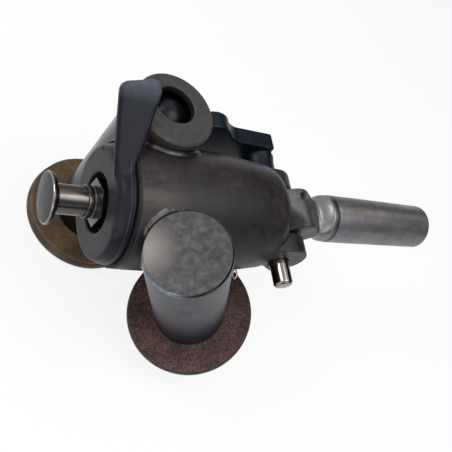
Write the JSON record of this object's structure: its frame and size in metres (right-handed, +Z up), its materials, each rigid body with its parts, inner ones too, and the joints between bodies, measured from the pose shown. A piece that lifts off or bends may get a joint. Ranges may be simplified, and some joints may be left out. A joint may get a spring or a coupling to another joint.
{
  "type": "manual bilge pump",
  "caption": "Lever-worked piston bilge pump: a cast barrel on two flanged pipes, with a paddle cap, knobbed rod, cross pin with a black handle, and a socket for a pump handle.",
  "frame": {"origin": "centre of the rear flange's underside", "axes": "+X along the barrel towards the lever, +Y from the front pipe to the rear pipe, +Z up along the rear pipe"},
  "size_m": [0.3508, 0.2132, 0.1973],
  "materials": {
    "cast_body": "satin grey cast metal",
    "pipe_steel": "brushed",
    "flange_steel": "satin",
    "friction_pad": "coarse grained",
    "bronze": "machined",
    "black_rubber": "smooth",
    "bright_steel": "polished",
    "galvanised_steel": "galvanised",
    "dark_screw": "oiled",
    "black_plastic": "moulded"
  },
  "bodies": {
    "housing": {"barrel": "cast_body", "cylinder_liner": "bronze", "cap_gasket": "black_rubber", "ear_bush_front": "bronze", "ear_bush_rear": "bronze", "rear_pipe": "pipe_steel", "rear_port_plate": "pipe_steel", "rear_flange": "flange_steel", "rear_pad": "friction_pad", "discharge_seat": "bronze", "front_pipe": "pipe_steel", "front_top_plate": "pipe_steel", "front_flange": "flange_steel", "front_pad": "friction_pad", "suction_seat": "bronze", "suction_stop": "bronze", "tether_ring": "bright_steel"},
    "cap": {"end_cap": "cast_body", "gland_nut": "bright_steel", "gland_packing": "black_rubber", "rod_bush": "bronze"},
    "piston": {"piston_rod": "bright_steel", "knob": "bright_steel", "piston": "bronze", "piston_cup_front": "black_rubber", "piston_cup_rear": "black_rubber", "piston_nut": "bright_steel", "piston_yoke": "bright_steel", "yoke_screws": "bright_steel"},
    "lever": {"lever_fork": "galvanised_steel", "lever_bush_front": "bronze", "lever_bush_rear": "bronze", "crank_pin": "bright_steel", "lever_collar": "galvanised_steel", "lever_socket": "galvanised_steel", "lever_screw": "dark_screw"},
    "roller": {"crank_roller": "bronze"},
    "pin": {"pivot_pin": "bright_steel", "pin_handle": "black_plastic", "handle_screw": "bright_steel"},
    "suction_ball": {"suction_ball": "black_rubber"},
    "discharge_ball": {"discharge_ball": "black_rubber"}
  },
  "joints": [
    {"name": "cap_turn", "type": "hinge", "parent": "housing", "child": "cap", "pos_m": [-0.038, -0.053, 0.1265], "axis": [1, 0, 0], "range_deg": [0, 60]},
    {"name": "piston_stroke", "type": "slide", "parent": "housing", "child": "piston", "axis": [1, 0, 0], "range_m": [-0.0152, 0.0152]},
    {"name": "lever_swing", "type": "hinge", "parent": "housing", "child": "lever", "pos_m": [0.10795, -0.053, 0.1265], "axis": [0, 1, 0], "range_deg": [-35, 35]},
    {"name": "roller_spin", "type": "hinge", "parent": "lever", "child": "roller", "pos_m": [0.10795, -0.053, 0.1005], "axis": [0, 1, 0], "continuous": true},
    {"name": "pin_turn", "type": "hinge", "parent": "housing", "child": "pin", "pos_m": [0.10795, -0.053, 0.1265], "axis": [0, 1, 0], "range_deg": [0, 90]},
    {"name": "suction_ball_lift", "type": "slide", "parent": "housing", "child": "suction_ball", "axis": [-0.5, 0, 0.866], "range_m": [0, 0.008]},
    {"name": "discharge_ball_lift", "type": "slide", "parent": "housing", "child": "discharge_ball", "axis": [0, 0, 1], "range_m": [0, 0.007]}
  ],
  "couplings": [
    {"joint": "piston_stroke", "follows": "lever_swing", "m_per_rad": -0.0248}
  ]
}
